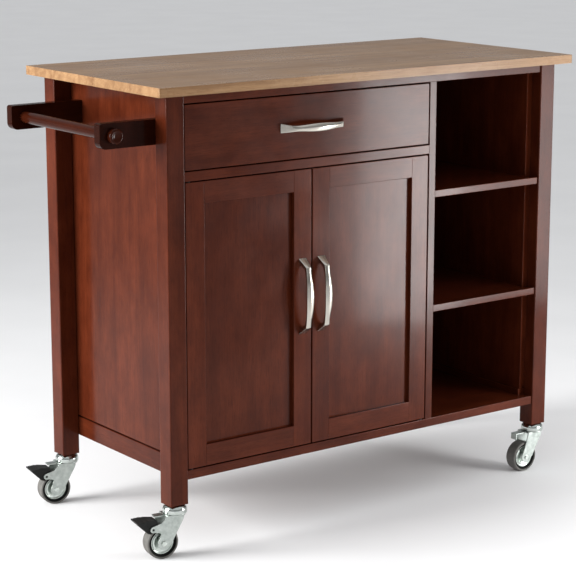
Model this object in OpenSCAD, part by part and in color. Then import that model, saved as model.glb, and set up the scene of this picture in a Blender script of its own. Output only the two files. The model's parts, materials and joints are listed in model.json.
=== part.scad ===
// Rolling kitchen island: a hardwood worktop on a four-leg cabinet with one drawer,
// two doors, an open shelf bay, a side towel holder and four swivel casters.
// +Z is up, the front faces -Y, and the floor is at Z = 0.
// The origin is below the centre of the overall box.

/* [Worktop] */
// Width of the worktop, along X
top_w = 1000; // [960:5:1100]
// Depth of the worktop, along Y
top_d = 478; // [460:2:520]
// Thickness of the worktop
top_t = 17; // [15:1:25]
// Height of the worktop's upper face above the floor
height = 880; // [860:5:920]
// Radius of the worktop's vertical corners
top_corner = 3; // [1:0.5:6]

/* [Frame] */
// Width of the frame over the outer faces of the legs
frame_w = 945; // [930:5:950]
// Depth of the frame over the outer faces of the legs
frame_d = 434; // [420:2:440]
// Side of the square legs
leg_w = 38; // [36:1:44]
// Radius of the eased edges of the legs
leg_ease = 2.5; // [1:0.5:5]
// Distance that doors, rails and shelves sit behind the front of the legs
setback = 3; // [2:0.5:5]
// Thickness of the side panels
side_t = 14; // [12:1:16]
// Height of the bottom rails at the sides and the back
low_rail_h = 38; // [30:2:44]
// Height of the underside of those rails above the floor
low_rail_z = 139; // [135:1:145]
// Shadow gap between a side panel and the rail under it
shadow_gap = 3.5; // [2:0.5:5]

/* [Front] */
// Height of the front rail under the worktop
apron_h = 17; // [15:1:20]
// Height of the drawer front
drawer_h = 119; // [110:1:125]
// Gap round the drawer front and above and below the doors
reveal = 2.2; // [2:0.1:3]
// Gap at the hinge edge of each door
hinge_gap = 2.5; // [2.5:0.1:4]
// Gap where the doors meet
meet_gap = 3; // [2.5:0.1:4]
// Height of the rail between the drawer and the doors
mid_rail_h = 17.6; // [16:0.2:20]
// Height of the underside of the bottom board
board_z = 146.5; // [146:0.5:150]
// Thickness of the bottom board
board_t = 17.5; // [16:0.5:19]
// Distance from the worktop's middle to the open side of the divider
divider_x = 158.5; // [140:0.5:180]
// Thickness of the divider
divider_t = 17; // [15:1:19]
// Thickness of the doors and the drawer front
door_t = 18; // [17:0.5:20]
// Width of the door stiles and rails
stile_w = 41; // [38:1:48]
// Distance from a door's front face back to its panel
panel_recess = 8; // [6:0.5:9]
// Thickness of the open shelves
shelf_t = 14; // [12:0.5:18]
// Height of the underside of the lower open shelf
lower_shelf_z = 384; // [340:2:420]
// Height of the underside of the upper open shelf
upper_shelf_z = 616.5; // [580:0.5:660]
// Height of the underside of the shelf inside the cabinet
inner_shelf_z = 424; // [360:8:488]

/* [Pulls] */
// Overall length of each pull
pull_l = 148; // [140:1:156]
// Projection of each pull
pull_h = 29.5; // [26:0.5:32]
// Height of the middle of the door pulls
door_pull_z = 460; // [440:5:480]

/* [Drawer] */
// Depth of the drawer box behind its front
drawer_l = 370; // [340:5:375]
// Height of the drawer's sides
drawer_side_h = 90; // [80:2:96]
// Thickness of the drawer's sides and back
drawer_side_t = 12; // [11:0.5:13]

/* [Towel holder] */
// Reach of the arms beyond the outer faces of the legs
arm_reach = 115; // [110:1:130]
// Height of each arm
arm_h = 46; // [42:1:50]
// Thickness of each arm
arm_t = 18; // [16:1:20]
// Clear distance between the two arms
arm_span = 300; // [290:2:306]
// Height of the middle of the rod
rod_z = 795; // [780:1:800]
// Diameter of the rod
rod_d = 22; // [18:1:26]
// Diameter of the knob on the rod
knob_d = 28; // [27:1:32]

/* [Casters] */
// Diameter of the wheels
wheel_d = 63; // [60:1:64]
// Width of the wheels
wheel_w = 26; // [24:0.5:27]
// Height of the underside of the legs above the floor
leg_bottom = 101; // [100:0.5:104]
// Distance from the swivel axis to the axle
trail = 29.5; // [28:0.5:31]
// Direction in which the two braked casters trail, anticlockwise from +X
braked_turn = 170.5; // [160:0.5:200]
// Direction in which the two plain casters trail, anticlockwise from +X
plain_turn = 180; // [160:0.5:200]

/* [Hidden] */
$fn = 48;

// Levels, from the top down
slab_z = height - top_t;
apron_z = slab_z - apron_h;
drawer_top = apron_z - reveal;
drawer_z = drawer_top - drawer_h;
mid_rail_top = drawer_z - reveal;
mid_rail_z = mid_rail_top - mid_rail_h;
door_top = mid_rail_z - reveal;
board_top = board_z + board_t;
door_z = board_top + reveal;
low_rail_top = low_rail_z + low_rail_h;

// Faces across the width
leg_x = frame_w / 2 - leg_w / 2;
inner_x = frame_w / 2 - leg_w;
panel_in_x = inner_x - side_t;
low_rail_t = 18;
low_rail_in_x = inner_x - low_rail_t;
divider_l = divider_x - divider_t;
door_w = (divider_l + inner_x - 2 * hinge_gap - meet_gap) / 2;
meet_x = -inner_x + hinge_gap + door_w + meet_gap / 2;

// Faces across the depth
leg_y = frame_d / 2 - leg_w / 2;
front_y = -frame_d / 2 + setback;
door_back_y = front_y + door_t;
panel_setback = 22;
panel_front_y = front_y + panel_setback;
back_t = 6;
back_inset = 8;
back_out_y = frame_d / 2 - back_inset;
back_in_y = back_out_y - back_t;
low_back_in_y = back_out_y - low_rail_t;
rail_depth = 60;

// Door pivots: distances from the door's hinge edge and from its front face
pivot_in = 8;
pivot_back = 5;
pivot_r = 2.5;
pivot_l = 10;
running_gap = 0.05;
left_pivot_x = -inner_x + hinge_gap + pivot_in;
right_pivot_x = divider_l - hinge_gap - pivot_in;
pivot_y = front_y + pivot_back;

// Drawer box and runners
runner_t = 13;
runner_h = 35;
runner_l = 350;
runner_sheet = 1.2;
runner_rise = 30;
runner_z = drawer_z + runner_rise;
box_l = -panel_in_x + runner_t;
box_r = divider_l - runner_t;
box_rise = 10;
box_z = drawer_z + box_rise;
groove_rise = 6;
groove_z = box_z + groove_rise;
bottom_t = 5;
groove_depth = 6;
box_back_y = door_back_y + drawer_l;

// Towel holder
arm_tip_x = -frame_w / 2 - arm_reach;
rod_inset = 28.5;
rod_x = arm_tip_x + rod_inset;
arm_front_y = -frame_d / 2 + leg_w;
rod_clearance = 0.5;
rod_end_depth = 12;
knob_l = 12;

// Casters, in a local frame: U runs from the swivel axis towards the wheel
stem_r = 5;
stem_depth = 38;
fork_top = leg_bottom - 17;
fork_sheet = 2.5;
fork_half = 17;
axle_r = 3;
axle_z = wheel_d / 2;
hub_r = 22.5;
plate_r = 21;
web_end = 24;
tab_half = 8;
braked_tab_end = 44;
plain_tab_end = 52;
tab_lip_z = 71;
lobe_r = 12;
arm_lobe_r = 6;
pedal_pivot = [trail + 20.5, 61];
pedal_pin_r = 2;
shoe_r = wheel_d / 2 + 0.7;
dome_r = 23;

// Screws
screw_r = 2;
head_r = 4;
head_h = 2.5;

// The frame's middle is moved so that the origin is under the overall box
origin_x = (top_w / 2 + arm_tip_x) / 2;
origin_y = (top_d / 2 + front_y - pull_h) / 2;

WOOD = "saddlebrown";
METAL = "silver";

// ---------------------------------------------------------------- helpers

module place() {
    translate([-origin_x, -origin_y, 0]) children();
}

// A box between two opposite corners
module box(a, b) {
    translate(a) cube(b - a);
}

// A rectangle with round corners, centred on the origin
module eased_rectangle(w, d, r) {
    square([w - 2 * r, d], center = true);
    square([w, d - 2 * r], center = true);
    for (sx = [-1, 1], sy = [-1, 1])
        translate([sx * (w / 2 - r), sy * (d / 2 - r)]) circle(r, $fn = 24);
}

// A cylinder along Y, centred at x and z
module y_rod(x, z, y0, y1, r) {
    translate([x, y0, z]) rotate([-90, 0, 0]) cylinder(h = y1 - y0, r = r);
}

// ---------------------------------------------------------------- worktop and frame

// Places of the screws that hold the worktop down
function top_screw_places() = [
    for (x = [-inner_x + 60, -inner_x / 3, divider_l - 80, inner_x - 80],
         y = [front_y + rail_depth / 2, back_in_y - rail_depth / 2]) [x, y]
];
top_screw_l = top_t * 0.55;

module worktop() place() color("burlywood")
    difference() {
        translate([0, 0, slab_z]) linear_extrude(top_t) eased_rectangle(top_w, top_d, top_corner);
        for (p = top_screw_places())
            translate([p[0], p[1], slab_z - 1]) cylinder(h = top_screw_l + 1, r = screw_r);
    }

module leg(sx, sy) place() color(WOOD)
    translate([sx * leg_x, sy * leg_y, leg_bottom])
        difference() {
            linear_extrude(slab_z - leg_bottom) eased_rectangle(leg_w, leg_w, leg_ease);
            translate([0, 0, -1]) cylinder(h = stem_depth + 1, r = stem_r);
        }

// A board between the legs, cut back behind panel_front_y to clear the side panels.
// left and right are the ends of its wide front part, in_left and in_right of the rest.
module notched_board(left, right, in_left, in_right, back, z, t) {
    translate([0, 0, z]) linear_extrude(t) polygon([
        [left, front_y], [right, front_y], [right, panel_front_y], [in_right, panel_front_y],
        [in_right, back], [in_left, back], [in_left, panel_front_y], [left, panel_front_y]
    ]);
}

// Clearance holes in a rail for the worktop's screws, with room for the heads
module top_screw_holes() {
    for (p = top_screw_places()) translate([p[0], p[1], apron_z - 1]) {
        cylinder(h = apron_h + 2, r = screw_r + 0.2);
        cylinder(h = head_h + 1, r = head_r + 0.2);
    }
}

module front_apron() place() color(WOOD)
    difference() {
        notched_board(-inner_x, inner_x, -panel_in_x, panel_in_x, front_y + rail_depth, apron_z, apron_h);
        top_screw_holes();
    }

module back_top_rail() place() color(WOOD)
    difference() {
        box([-panel_in_x, back_in_y - rail_depth, apron_z], [panel_in_x, back_in_y, slab_z]);
        top_screw_holes();
    }

module mid_rail() place() color(WOOD)
    difference() {
        notched_board(-inner_x, divider_l, -panel_in_x, divider_l, front_y + rail_depth,
            mid_rail_z, mid_rail_h);
        for (x = [left_pivot_x, right_pivot_x])
            translate([x, pivot_y, mid_rail_z - 1]) cylinder(h = pivot_l + 1, r = pivot_r);
    }

module bottom_board() place() color(WOOD)
    difference() {
        notched_board(-inner_x, inner_x, -low_rail_in_x, low_rail_in_x, low_back_in_y, board_z, board_t);
        for (x = [left_pivot_x, right_pivot_x])
            translate([x, pivot_y, board_top - pivot_l]) cylinder(h = pivot_l + 1, r = pivot_r);
    }

// The four shelf pins: radius, depth in the wall, height of the axis, and places in Y
pin_r = 2.5;
pin_l = 8;
pin_z = inner_shelf_z - pin_r;
pin_ys = [-90, 150];

module shelf_pin_holes() {
    for (y = pin_ys, x = [-panel_in_x, divider_l])
        translate([x - pin_l, y, pin_z]) rotate([0, 90, 0]) cylinder(h = 2 * pin_l, r = pin_r);
}

module divider() place() color(WOOD)
    difference() {
        box([divider_l, front_y, board_top], [divider_x, back_in_y, slab_z]);
        box([divider_l - 1, front_y - 1, apron_z], [divider_x + 1, front_y + rail_depth, slab_z + 1]);
        box([divider_l - 1, back_in_y - rail_depth, apron_z], [divider_x + 1, back_in_y + 1, slab_z + 1]);
        box([divider_l - 1, low_back_in_y, board_top - 1], [divider_x + 1, back_in_y + 1, low_rail_top]);
        shelf_pin_holes();
    }

// A side panel: its outer part stops above the rail, and a thinner tongue stands on the rail
module side_panel() {
    tongue_inset = 6;
    box([-inner_x, panel_front_y, low_rail_top + shadow_gap], [-panel_in_x, back_in_y, slab_z]);
    box([-inner_x + tongue_inset, panel_front_y, low_rail_top],
        [-panel_in_x, back_in_y, low_rail_top + shadow_gap]);
}

// Screws through the left panel into the ends of the towel arms: places [y, z]
function arm_screw_places() = [
    for (y = [arm_front_y + arm_t / 2, arm_front_y + arm_t * 1.5 + arm_span], dz = [-12, 12])
        [y, rod_z + dz]
];
arm_screw_l = 34;

module side_panel_left() place() color(WOOD)
    difference() {
        side_panel();
        shelf_pin_holes();
        for (p = arm_screw_places())
            translate([-inner_x - 1, p[0], p[1]]) rotate([0, 90, 0]) cylinder(h = side_t + 2, r = screw_r);
    }

module side_panel_right() place() color(WOOD)
    mirror([1, 0, 0]) side_panel();

// The rails under the two side panels and the back panel: three boards with butt joints
butt_gap = 0.1;

module low_rails() place() color(WOOD) {
    for (s = [0, 1]) mirror([s, 0, 0])
        box([-inner_x, panel_front_y, low_rail_z],
            [-low_rail_in_x, low_back_in_y - butt_gap, low_rail_top]);
    box([-inner_x, low_back_in_y, low_rail_z], [inner_x, back_out_y, low_rail_top]);
}

module back_panel() place() color(WOOD)
    box([-inner_x, back_in_y, low_rail_top], [inner_x, back_out_y, slab_z]);

module open_shelf(z) place() color(WOOD)
    notched_board(divider_x, inner_x, divider_x, panel_in_x, back_in_y, z, shelf_t);

module cabinet_shelf() place() color(WOOD)
    box([-panel_in_x + 1, front_y + rail_depth + 4, inner_shelf_z],
        [divider_l - 1, back_in_y - 2, inner_shelf_z + shelf_t]);

module shelf_pins() place() color(METAL)
    for (y = pin_ys, x = [-panel_in_x, divider_l])
        translate([x - pin_l, y, pin_z]) rotate([0, 90, 0]) cylinder(h = 2 * pin_l, r = pin_r);

// ---------------------------------------------------------------- fittings on the frame

// A C-shaped channel along Y, open towards +X, with its web at x = 0
module channel(depth, h, sheet, l) {
    translate([0, 0, -h / 2]) difference() {
        cube([depth, l, h]);
        translate([sheet, -1, sheet]) cube([depth, l + 2, h - 2 * sheet]);
    }
}

runner_y = door_back_y + 4;
runner_play = 0.3;
outer_channel = 9;
inner_channel = 10;

module cabinet_runners() place() color(METAL) {
    translate([-panel_in_x, runner_y, runner_z]) channel(outer_channel, runner_h, runner_sheet, runner_l);
    translate([divider_l, runner_y, runner_z]) mirror([1, 0, 0])
        channel(outer_channel, runner_h, runner_sheet, runner_l);
}

module drawer_runners() place() color(METAL) {
    inner_h = runner_h - 2 * runner_sheet - 2 * runner_play;
    translate([box_l, runner_y, runner_z]) mirror([1, 0, 0])
        channel(inner_channel, inner_h, runner_sheet, runner_l);
    translate([box_r, runner_y, runner_z]) channel(inner_channel, inner_h, runner_sheet, runner_l);
}

catch_w = 40;
catch_d = 22;
catch_h = 14;
strike_t = 1.2;
strike_l = 24;
strike_h = 12;
strike_inset = 3;
catch_gap = 0.4;
function catch_x(s) = meet_x + s * (stile_w / 2 + 6);

module door_catches() place() color("dimgray")
    for (s = [-1, 1])
        box([catch_x(s) - catch_w / 2, door_back_y + strike_t + catch_gap, mid_rail_z - catch_h],
            [catch_x(s) + catch_w / 2, door_back_y + strike_t + catch_gap + catch_d, mid_rail_z]);

module door_strike(s) place() color(METAL)
    box([catch_x(s) - strike_l / 2, door_back_y, door_top - strike_inset - strike_h],
        [catch_x(s) + strike_l / 2, door_back_y + strike_t, door_top - strike_inset]);

// A screw along +Z with its head at the bottom
module screw(l) {
    cylinder(h = l, r = screw_r);
    cylinder(h = head_h, r = head_r);
}

module frame_screws() place() color(METAL) {
    for (p = top_screw_places())
        translate([p[0], p[1], apron_z]) screw(apron_h + top_screw_l);
    for (p = arm_screw_places())
        translate([-panel_in_x + head_h, p[0], p[1]]) rotate([0, -90, 0])
            screw(side_t + head_h + arm_screw_l);
}

// Pivot pins under and over the hinge edge of each door, each with a spacing washer
module door_pivots() place() color(METAL)
    for (x = [left_pivot_x, right_pivot_x]) {
        translate([x, pivot_y, board_top - pivot_l]) cylinder(h = 2 * pivot_l + reveal, r = pivot_r);
        translate([x, pivot_y, board_top]) cylinder(h = reveal - 0.3, r = pivot_r + 2);
        translate([x, pivot_y, door_top - pivot_l]) cylinder(h = 2 * pivot_l + reveal, r = pivot_r);
        translate([x, pivot_y, door_top + 0.3]) cylinder(h = reveal - 0.3, r = pivot_r + 2);
    }

// ---------------------------------------------------------------- towel holder

// The outline of an arm in X and Z: rounder below the tip than above it
module arm_outline() {
    low_r = 13;
    high_r = 5;
    low = rod_z - arm_h / 2;
    high = rod_z + arm_h / 2;
    translate([arm_tip_x + low_r, low]) square([-inner_x - arm_tip_x - low_r, arm_h]);
    translate([arm_tip_x, low + low_r]) square([low_r + 1, arm_h - low_r - high_r]);
    translate([arm_tip_x + high_r, high - high_r - 1]) square([low_r, high_r + 1]);
    translate([arm_tip_x + low_r, low + low_r]) circle(low_r);
    translate([arm_tip_x + high_r, high - high_r]) circle(high_r);
}

module towel_arm(y, hole_from, hole_to) place() color(WOOD)
    difference() {
        translate([0, y + arm_t, 0]) rotate([90, 0, 0]) linear_extrude(arm_t) arm_outline();
        y_rod(rod_x, rod_z, hole_from, hole_to, rod_d / 2 + rod_clearance);
        for (p = arm_screw_places())
            translate([-inner_x + 1, p[0], p[1]]) rotate([0, -90, 0])
                cylinder(h = arm_screw_l + 1, r = screw_r);
    }

arm_back_y = arm_front_y + arm_t + arm_span;

module towel_arm_front() towel_arm(arm_front_y, arm_front_y - 1, arm_front_y + arm_t + 1);
module towel_arm_back() towel_arm(arm_back_y, arm_back_y - 1, arm_back_y + rod_end_depth + 0.5);

// The rod, with a round knob that stops on the front arm
module towel_rod() place() color(WOOD)
    translate([rod_x, arm_front_y - 0.3, rod_z]) rotate([90, 0, 0]) rotate_extrude() polygon([
        [0, -arm_t - arm_span - rod_end_depth], [rod_d / 2 - 1.5, -arm_t - arm_span - rod_end_depth],
        [rod_d / 2, -arm_t - arm_span - rod_end_depth + 1.5], [rod_d / 2, 0], [knob_d / 2, 0],
        for (a = [0:15:90]) [knob_d / 2 - 3 + 3 * cos(a), knob_l - 3 + 3 * sin(a)],
        [0, knob_l - 1]
    ]);

// ---------------------------------------------------------------- drawer

module drawer_front() place() color(WOOD)
    difference() {
        box([-inner_x + 2, front_y, drawer_z], [divider_l - 2, door_back_y, drawer_top]);
        for (s = [-1, 1])
            y_rod(meet_x + s * pull_screw_x, drawer_z + drawer_h / 2, front_y - 1, door_back_y + 1, screw_r);
    }

module drawer_sides() place() color("tan")
    for (side = [[box_l, 1], [box_r, -1]])
        difference() {
            translate([side[0], door_back_y, box_z]) mirror([side[1] < 0 ? 1 : 0, 0, 0])
                cube([drawer_side_t, drawer_l, drawer_side_h]);
            translate([side[0] + side[1] * (drawer_side_t - groove_depth), door_back_y - 1, groove_z])
                mirror([side[1] < 0 ? 1 : 0, 0, 0]) cube([groove_depth + 1, drawer_l + 2, bottom_t]);
        }

module drawer_back() place() color("tan")
    box([box_l + drawer_side_t, box_back_y - drawer_side_t, groove_z + bottom_t],
        [box_r - drawer_side_t, box_back_y, box_z + drawer_side_h]);

module drawer_bottom() place() color("tan")
    box([box_l + drawer_side_t - groove_depth, door_back_y, groove_z],
        [box_r - drawer_side_t + groove_depth, box_back_y, groove_z + bottom_t]);

// ---------------------------------------------------------------- pulls

// The pull's thickness, and half its width at the waist with what the belly and the feet add
pull_t = 7;
waist_half = 5.6;
belly_growth = 2.9;
foot_growth = 3.9;
waist_x = pull_l / 2 - 17;
foot_l = 12;
foot_x = pull_l / 2 - foot_l;
pull_screw_x = pull_l / 2 - foot_l / 2;

// The height of an arc of the given rise, at x, over a half span
function arc_rise(x, half, rise) = rise * (1 - (x / half) * (x / half));
// Half the pull's width at x: widest in the middle and at the feet
function pull_half_width(x) = abs(x) < waist_x
    ? waist_half + belly_growth * pow(cos(90 * x / waist_x), 1.5)
    : waist_half + foot_growth * (abs(x) - waist_x) / (pull_l / 2 - waist_x);

pull_outer_x = pull_l / 2 - 15;
pull_inner_x = foot_x - 9;
pull_rise = 10;
pull_steps = 12;

// The bow seen from the side: X along the pull, Y its projection
module pull_side() {
    polygon([
        [-pull_l / 2, 0],
        for (i = [-pull_steps:pull_steps]) let (x = i * pull_outer_x / pull_steps)
            [x, pull_h - pull_rise + arc_rise(x, pull_outer_x, pull_rise)],
        [pull_l / 2, 0],
        [foot_x, 0],
        for (i = [pull_steps:-1:-pull_steps]) let (x = i * pull_inner_x / pull_steps)
            [x, pull_h - pull_rise - pull_t + arc_rise(x, pull_inner_x, pull_rise)],
        [-foot_x, 0]
    ]);
}

// The bow seen from the front
module pull_front() {
    xs = [for (i = [-2 * pull_steps:2 * pull_steps]) i * pull_l / 4 / pull_steps];
    polygon(concat(
        [for (x = xs) [x, pull_half_width(x)]],
        [for (i = [len(xs) - 1:-1:0]) [xs[i], -pull_half_width(xs[i])]]
    ));
}

// One pull along X on the plane Y = 0, standing out towards -Y, with its two screws
module pull(plate) {
    difference() {
        intersection() {
            translate([0, 0, -15]) linear_extrude(30) mirror([0, 1, 0]) pull_side();
            rotate([90, 0, 0]) translate([0, 0, -1]) linear_extrude(pull_h + 2) pull_front();
        }
        for (s = [-1, 1]) y_rod(s * pull_screw_x, 0, -5, 1, screw_r);
    }
    for (s = [-1, 1]) {
        y_rod(s * pull_screw_x, 0, -5, plate, screw_r);
        y_rod(s * pull_screw_x, 0, plate, plate + head_h, head_r);
    }
}

module drawer_pull() place() color(METAL)
    translate([meet_x, front_y, drawer_z + drawer_h / 2]) pull(door_t);

module door_pull(s) place() color(METAL)
    translate([meet_x + s * (meet_gap / 2 + stile_w / 2), front_y, door_pull_z])
        rotate([0, 90, 0]) pull(door_t);

// ---------------------------------------------------------------- doors

tongue_d = 8;
door_panel_t = 6;
panel_y = front_y + panel_recess;

// The doors' frames are made at the left door's place; x0 is the hinge edge
module stiles() {
    for (x = [0, door_w - stile_w])
        difference() {
            box([x, front_y, door_z], [x + stile_w, door_back_y, door_top]);
            panel_slot();
        }
}

// The groove that holds a door's panel, cut round the inside of the frame
module panel_slot() {
    box([stile_w - tongue_d, panel_y, door_z + stile_w - tongue_d],
        [door_w - stile_w + tongue_d, panel_y + door_panel_t, door_top - stile_w + tongue_d]);
}

module door_stiles(x0, flip) place() color(WOOD)
    translate([x0, 0, 0]) mirror([flip, 0, 0]) difference() {
        stiles();
        for (z = [door_z - 1, door_top - pivot_l - 0.5])
            translate([pivot_in, pivot_y, z]) cylinder(h = pivot_l + 1.5, r = pivot_r + running_gap);
        for (s = [-1, 1])
            y_rod(door_w - stile_w / 2, door_pull_z + s * pull_screw_x,
                front_y - 1, door_back_y + 1, screw_r);
    }

module door_rails(x0, flip) place() color(WOOD)
    translate([x0, 0, 0]) mirror([flip, 0, 0])
        for (z = [door_z, door_top - stile_w])
            difference() {
                box([stile_w, front_y, z], [door_w - stile_w, door_back_y, z + stile_w]);
                panel_slot();
            }

module door_panel(x0, flip) place() color(WOOD)
    translate([x0, 0, 0]) mirror([flip, 0, 0]) panel_slot();

left_edge = -inner_x + hinge_gap;
right_edge = divider_l - hinge_gap;

// ---------------------------------------------------------------- casters

// Puts a caster's local frame at a leg, turned so that +X is its trailing direction
module at_caster(sx, sy, turn) place()
    translate([sx * leg_x, sy * leg_y, 0]) rotate([0, 0, turn]) children();

module caster_stem() {
    rotate_extrude() polygon([
        [0, fork_top - 6.5], [8, fork_top - 6.5], [8, fork_top - 3.1], [stem_r, fork_top - 3.1],
        [stem_r, fork_top + 0.6], [dome_r, fork_top + 0.6],
        for (a = [0:10:90]) [dome_r - 9 + 9 * cos(a), leg_bottom - 9 + 9 * sin(a)],
        [stem_r, leg_bottom], [stem_r, leg_bottom + stem_depth - 0.5], [0, leg_bottom + stem_depth - 0.5]
    ]);
}

module caster_stems() place() color(METAL)
    for (sx = [-1, 1], sy = [-1, 1]) translate([sx * leg_x, sy * leg_y, 0]) caster_stem();

// The outline of a fork's cheek in U and Z
module cheek_outline(braked) {
    polygon([
        [-12, fork_top], [web_end, fork_top], [trail, 64], [trail + 11.6, axle_z + 3],
        [trail - 11.2, axle_z - 4.3], [trail - 17.5, axle_z + 1], [4, 48], [-8, 69], [-12, 77]
    ]);
    translate([trail, axle_z]) circle(lobe_r);
    if (braked) {
        polygon([
            [20, fork_top], [27, 77], [34, 71.5], pedal_pivot + [1.5, 5.8],
            pedal_pivot + [2, -5.6], [trail + 11, 54.5], [trail + 5, 51], [trail, 45]
        ]);
        translate(pedal_pivot) circle(arm_lobe_r);
    }
}

// Cuts a bore across the fork
module cross_bore(u, z, r) {
    y_rod(u, z, -fork_half - 5, fork_half + 5, r);
}

module fork(braked) {
    difference() {
        union() {
            translate([0, 0, fork_top - fork_sheet]) cylinder(h = fork_sheet, r = plate_r);
            box([0, -fork_half, fork_top - fork_sheet], [web_end, fork_half, fork_top]);
            for (s = [0, 1]) mirror([0, s, 0])
                translate([0, fork_half, 0]) rotate([90, 0, 0])
                    linear_extrude(fork_sheet) cheek_outline(braked);
            box([plate_r - 1, -tab_half, fork_top - fork_sheet],
                [braked ? braked_tab_end : plain_tab_end, tab_half, fork_top]);
            if (!braked)
                box([plain_tab_end - fork_sheet, -tab_half, tab_lip_z], [plain_tab_end, tab_half, fork_top]);
        }
        translate([0, 0, fork_top - 5]) cylinder(h = 10, r = stem_r + running_gap);
        cross_bore(trail, axle_z, axle_r);
        if (braked) cross_bore(pedal_pivot[0], pedal_pivot[1], pedal_pin_r + running_gap);
    }
}

// The axle bolt, with a round head on one side and a nut on the other
module axle() {
    nut_t = 2.5;
    bolt_head_t = 1.6;
    y_rod(trail, axle_z, -fork_half, fork_half + nut_t, axle_r);
    y_rod(trail, axle_z, -fork_half - bolt_head_t, -fork_half, 5);
    translate([trail, fork_half, axle_z]) rotate([-90, 0, 0]) cylinder(h = nut_t, r = 5.2, $fn = 6);
}

// The wheel's solid hub, bored to turn on the axle, with a raised boss on each face
module hub() {
    translate([trail, 0, axle_z]) rotate([90, 0, 0]) difference() {
        union() {
            cylinder(h = wheel_w - 5, r = hub_r, center = true);
            cylinder(h = 2 * (fork_half - fork_sheet) - 1, r = 7, center = true);
        }
        cylinder(h = 2 * fork_half, r = axle_r + running_gap, center = true);
    }
}

// The tyre: a rubber ring with rounded shoulders round a recessed side wall
module tyre() {
    half = wheel_w / 2;
    shoulder = 4;
    recess = 2.5;
    outer = wheel_d / 2;
    translate([trail, 0, axle_z]) rotate([90, 0, 0]) rotate_extrude() polygon([
        [hub_r, -half + recess], [outer - shoulder, -half + recess], [outer - shoulder, -half],
        for (a = [-60:30:0]) [outer - shoulder + shoulder * cos(a), -half + shoulder + shoulder * sin(a)],
        for (a = [0:30:60]) [outer - shoulder + shoulder * cos(a), half - shoulder + shoulder * sin(a)],
        [outer - shoulder, half], [outer - shoulder, half - recess], [hub_r, half - recess]
    ]);
}

// The brake pedal in U and Z: a wedge beyond the fork and a shoe just clear of the tread
module pedal_outline() {
    polygon([
        [trail + 52, 75.5], [trail + 52, 78], [trail + 30, 79.6], [trail + 11, 76.5], [trail + 11, 67.5],
        for (a = [58:-6:40]) [trail + shoe_r * cos(a), axle_z + shoe_r * sin(a)],
        [trail + 31, 54.5]
    ]);
}

module pedal() {
    inner_half = fork_half - fork_sheet - 0.6;
    wide_from = trail + 35;
    ribs_from = wide_from + 1;
    rib_pitch = 3;
    rib_gap = 1.2;
    difference() {
        union() {
            translate([0, inner_half, 0]) rotate([90, 0, 0]) linear_extrude(2 * inner_half) pedal_outline();
            intersection() {
                translate([0, fork_half, 0]) rotate([90, 0, 0]) linear_extrude(2 * fork_half) pedal_outline();
                box([wide_from, -fork_half, 0], [wide_from + 30, fork_half, leg_bottom]);
            }
        }
        for (i = [0:4])
            box([ribs_from + rib_pitch * i, -fork_half - 1, 78.4 - 0.22 * i],
                [ribs_from + rib_pitch * i + rib_gap, fork_half + 1, leg_bottom]);
    }
    y_rod(pedal_pivot[0], pedal_pivot[1], -fork_half - 0.8, fork_half + 0.8, pedal_pin_r);
}

module caster_fork(sx, sy, turn, braked) color(METAL) at_caster(sx, sy, turn) fork(braked);
module caster_axle(sx, sy, turn) color("gray") at_caster(sx, sy, turn) axle();
module caster_hub(sx, sy, turn) color("lightgray") at_caster(sx, sy, turn) hub();
module caster_tyre(sx, sy, turn) color("dimgray") at_caster(sx, sy, turn) tyre();
module caster_pedal(sx, sy, turn) color("black") at_caster(sx, sy, turn) pedal();

// ---------------------------------------------------------------- the assembly

worktop();
leg(-1, -1);  // leg_front_left
leg(1, -1);  // leg_front_right
leg(-1, 1);  // leg_back_left
leg(1, 1);  // leg_back_right
front_apron();
back_top_rail();
mid_rail();
bottom_board();
divider();
side_panel_left();
side_panel_right();
low_rails();
back_panel();
open_shelf(upper_shelf_z);  // upper_open_shelf
open_shelf(lower_shelf_z);  // lower_open_shelf
cabinet_shelf();
shelf_pins();
cabinet_runners();
door_catches();
frame_screws();
door_pivots();
towel_arm_front();
towel_arm_back();
towel_rod();
drawer_front();
drawer_sides();
drawer_back();
drawer_bottom();
drawer_pull();
drawer_runners();
door_stiles(left_edge, 0);  // door_left_stiles
door_rails(left_edge, 0);  // door_left_rails
door_panel(left_edge, 0);  // door_left_panel
door_pull(-1);  // door_left_pull
door_strike(-1);  // door_left_strike
door_stiles(right_edge, 1);  // door_right_stiles
door_rails(right_edge, 1);  // door_right_rails
door_panel(right_edge, 1);  // door_right_panel
door_pull(1);  // door_right_pull
door_strike(1);  // door_right_strike
caster_stems();
caster_fork(-1, -1, braked_turn, true);  // caster_fl_fork
caster_axle(-1, -1, braked_turn);  // caster_fl_axle
caster_hub(-1, -1, braked_turn);  // caster_fl_hub
caster_tyre(-1, -1, braked_turn);  // caster_fl_tyre
caster_pedal(-1, -1, braked_turn);  // caster_fl_pedal
caster_fork(1, -1, plain_turn, false);  // caster_fr_fork
caster_axle(1, -1, plain_turn);  // caster_fr_axle
caster_hub(1, -1, plain_turn);  // caster_fr_hub
caster_tyre(1, -1, plain_turn);  // caster_fr_tyre
caster_fork(-1, 1, braked_turn, true);  // caster_bl_fork
caster_axle(-1, 1, braked_turn);  // caster_bl_axle
caster_hub(-1, 1, braked_turn);  // caster_bl_hub
caster_tyre(-1, 1, braked_turn);  // caster_bl_tyre
caster_pedal(-1, 1, braked_turn);  // caster_bl_pedal
caster_fork(1, 1, plain_turn, false);  // caster_br_fork
caster_axle(1, 1, plain_turn);  // caster_br_axle
caster_hub(1, 1, plain_turn);  // caster_br_hub
caster_tyre(1, 1, plain_turn);  // caster_br_tyre
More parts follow.
